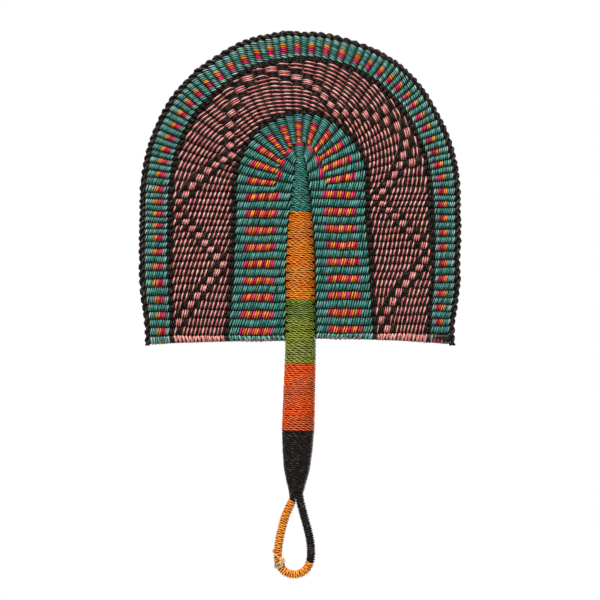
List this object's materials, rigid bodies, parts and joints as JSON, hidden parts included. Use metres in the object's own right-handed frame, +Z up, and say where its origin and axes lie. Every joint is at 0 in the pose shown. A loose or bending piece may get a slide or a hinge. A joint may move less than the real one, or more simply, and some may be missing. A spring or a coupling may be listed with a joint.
{
  "type": "woven hand fan",
  "caption": "Flat woven straw hand fan: a round-topped blade of twined colour bands on radiating spokes, a wound tapered handle and a hanging loop.",
  "frame": {"origin": "the middle of the grip, on the axis of the stem, where the hand closes round it; the handle leans, so that its own middle lies 1.7 mm to the left of it there", "axes": "+Z up the handle to the top of the blade, +X across the blade to the right as seen from the front, +Y through the blade to its back"},
  "size_m": [0.2578, 0.0216, 0.439],
  "materials": {
    "spoke_straw": "undyed dry straw bundles",
    "natural_tie": "undyed straw, knotted",
    "teal_weft": "twined straw dyed teal, pink and orange checks, low sheen",
    "black_weft": "twined straw dyed black",
    "salmon_black_weft": "salmon and black straw twined together",
    "edge_black": "twisted black straw cord",
    "hem_straw": "turned-back weft, in the colour of each band",
    "stem_teal": "straw strand dyed teal, wound turn on turn",
    "stem_orange": "straw strand dyed orange, wound turn on turn",
    "stem_dark_green": "straw strand dyed dark green, wound turn on turn",
    "stem_light_green": "straw strand dyed yellow-green, wound turn on turn",
    "grip_red_orange": "straw strand dyed red-orange, wound turn on turn",
    "neck_black": "straw strand dyed black, wound turn on turn",
    "loop_black": "black straw wound round the loop",
    "loop_orange": "orange straw wound round the loop"
  },
  "bodies": {
    "root": {"Crown_spokes": "spoke_straw", "Left_shoulder_spokes": "spoke_straw", "Left_upper_spokes": "spoke_straw", "Left_middle_spokes": "spoke_straw", "Left_lower_spokes": "spoke_straw", "Left_lowest_spokes": "spoke_straw", "Right_shoulder_spokes": "spoke_straw", "Right_upper_spokes": "spoke_straw", "Right_middle_spokes": "spoke_straw", "Right_lower_spokes": "spoke_straw", "Right_lowest_spokes": "spoke_straw", "Inner_teal_band": "teal_weft", "Inner_black_ring": "black_weft", "Salmon_and_black_band": "salmon_black_weft", "Outer_black_ring": "black_weft", "Outer_teal_band": "teal_weft", "Black_edge_cord": "edge_black", "Left_hem": "hem_straw", "Right_hem": "hem_straw", "Teal_stem_winding": "stem_teal", "Orange_stem_winding": "stem_orange", "Dark_green_stem_winding": "stem_dark_green", "Light_green_stem_winding": "stem_light_green", "Red_orange_grip_winding": "grip_red_orange", "Black_neck_winding": "neck_black", "Loop_core": "spoke_straw", "Black_loop_winding": "loop_black", "Orange_loop_winding": "loop_orange", "Straw_tie": "natural_tie", "Tie_knot": "natural_tie"}
  },
  "joints": []
}
